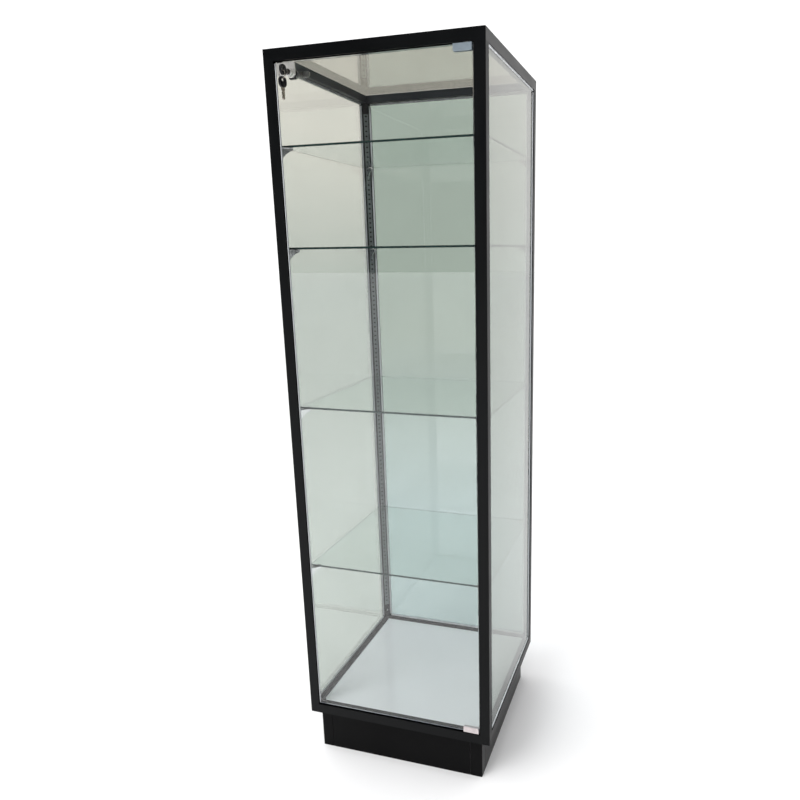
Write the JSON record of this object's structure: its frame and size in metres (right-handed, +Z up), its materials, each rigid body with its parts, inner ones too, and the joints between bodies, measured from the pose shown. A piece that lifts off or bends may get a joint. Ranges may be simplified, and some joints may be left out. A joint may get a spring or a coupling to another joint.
{
  "type": "display case",
  "caption": "Tall square glass display case: slim black aluminium frame, clear channel glazing, lockable pivot door with keys, glass shelves on slotted standards, white deck and dark kick base",
  "frame": {"origin": "On the floor, in the middle of the square frame's footprint", "axes": "X runs left to right seen from the front, Y runs from the door to the back, Z is up"},
  "size_m": [0.508, 0.5527, 1.778],
  "materials": {
    "frame_black": "satin",
    "connector_black": "matte",
    "clear_glass": "polished",
    "glazing_channel": "clear",
    "satin_zinc": "satin",
    "chrome": "polished",
    "black_laminate": "satin",
    "white_laminate": "satin",
    "timber": "raw",
    "black_plastic": "satin",
    "key_steel": "nickel"
  },
  "bodies": {
    "cabinet": {"post_front_left": "frame_black", "post_front_right": "frame_black", "post_rear_right": "frame_black", "post_rear_left": "frame_black", "bottom_rail_front": "frame_black", "bottom_rail_right": "frame_black", "bottom_rail_rear": "frame_black", "bottom_rail_left": "frame_black", "top_rail_front": "frame_black", "top_rail_right": "frame_black", "top_rail_rear": "frame_black", "top_rail_left": "frame_black", "corner_connectors": "connector_black", "connector_screws": "chrome", "glass_right": "clear_glass", "glass_rear": "clear_glass", "glass_left": "clear_glass", "glass_top": "clear_glass", "gasket_right": "glazing_channel", "gasket_rear": "glazing_channel", "gasket_left": "glazing_channel", "gasket_top": "glazing_channel", "standard_front_left": "satin_zinc", "standard_front_right": "satin_zinc", "standard_rear_right": "satin_zinc", "standard_rear_left": "satin_zinc", "deck": "white_laminate", "base_front": "black_laminate", "base_right": "black_laminate", "base_rear": "black_laminate", "base_left": "black_laminate", "base_corners": "black_laminate", "base_blocks": "timber", "base_screws": "satin_zinc", "shelf_1_brackets": "chrome", "shelf_2_brackets": "chrome", "shelf_3_brackets": "chrome", "shelf_4_brackets": "chrome", "hinge_bushes": "black_plastic", "door_stops": "black_plastic"},
    "door": {"door_glass": "clear_glass", "hinge_clip_top": "satin_zinc", "hinge_clip_bottom": "satin_zinc", "hinge_pads": "glazing_channel", "hinge_set_screws": "satin_zinc", "hinge_pins": "satin_zinc", "lock_housing": "chrome", "lock_nut": "chrome"},
    "lock_turning": {"lock_plug": "chrome", "lock_cam": "satin_zinc", "cam_screw": "satin_zinc"},
    "key": {"key_blade": "key_steel", "key_head": "black_plastic"},
    "ring": {"key_ring": "key_steel"},
    "spare_key": {"spare_key_blade": "key_steel", "spare_key_head": "black_plastic"},
    "shelf_1_panel": {"shelf_1": "clear_glass"},
    "shelf_2_panel": {"shelf_2": "clear_glass"},
    "shelf_3_panel": {"shelf_3": "clear_glass"},
    "shelf_4_panel": {"shelf_4": "clear_glass"}
  },
  "joints": [
    {"name": "door_swing", "type": "hinge", "parent": "cabinet", "child": "door", "pos_m": [0.214, -0.2476, 0.1474], "axis": [0, 0, 1], "range_deg": [0, 110]},
    {"name": "lock_turn", "type": "hinge", "parent": "door", "child": "lock_turning", "pos_m": [-0.188, -0.264, 1.726], "axis": [0, -1, 0], "range_deg": [0, 90]},
    {"name": "key_pull", "type": "slide", "parent": "lock_turning", "child": "key", "axis": [0, -1, 0], "range_m": [0, 0.024]},
    {"name": "ring_swing", "type": "hinge", "parent": "key", "child": "ring", "pos_m": [-0.188, -0.288, 1.7241], "axis": [0.9781, -0.2079, 0], "range_deg": [-30, 15]},
    {"name": "spare_key_swing", "type": "hinge", "parent": "ring", "child": "spare_key", "pos_m": [-0.188, -0.288, 1.7073], "axis": [0.9781, -0.2079, 0], "range_deg": [-18, 18]},
    {"name": "shelf_1_lift", "type": "slide", "parent": "cabinet", "child": "shelf_1_panel", "axis": [0, 0, 1], "range_m": [0, 0.155]},
    {"name": "shelf_2_lift", "type": "slide", "parent": "cabinet", "child": "shelf_2_panel", "axis": [0, 0, 1], "range_m": [0, 0.185]},
    {"name": "shelf_3_lift", "type": "slide", "parent": "cabinet", "child": "shelf_3_panel", "axis": [0, 0, 1], "range_m": [0, 0.345]},
    {"name": "shelf_4_lift", "type": "slide", "parent": "cabinet", "child": "shelf_4_panel", "axis": [0, 0, 1], "range_m": [0, 0.385]}
  ]
}
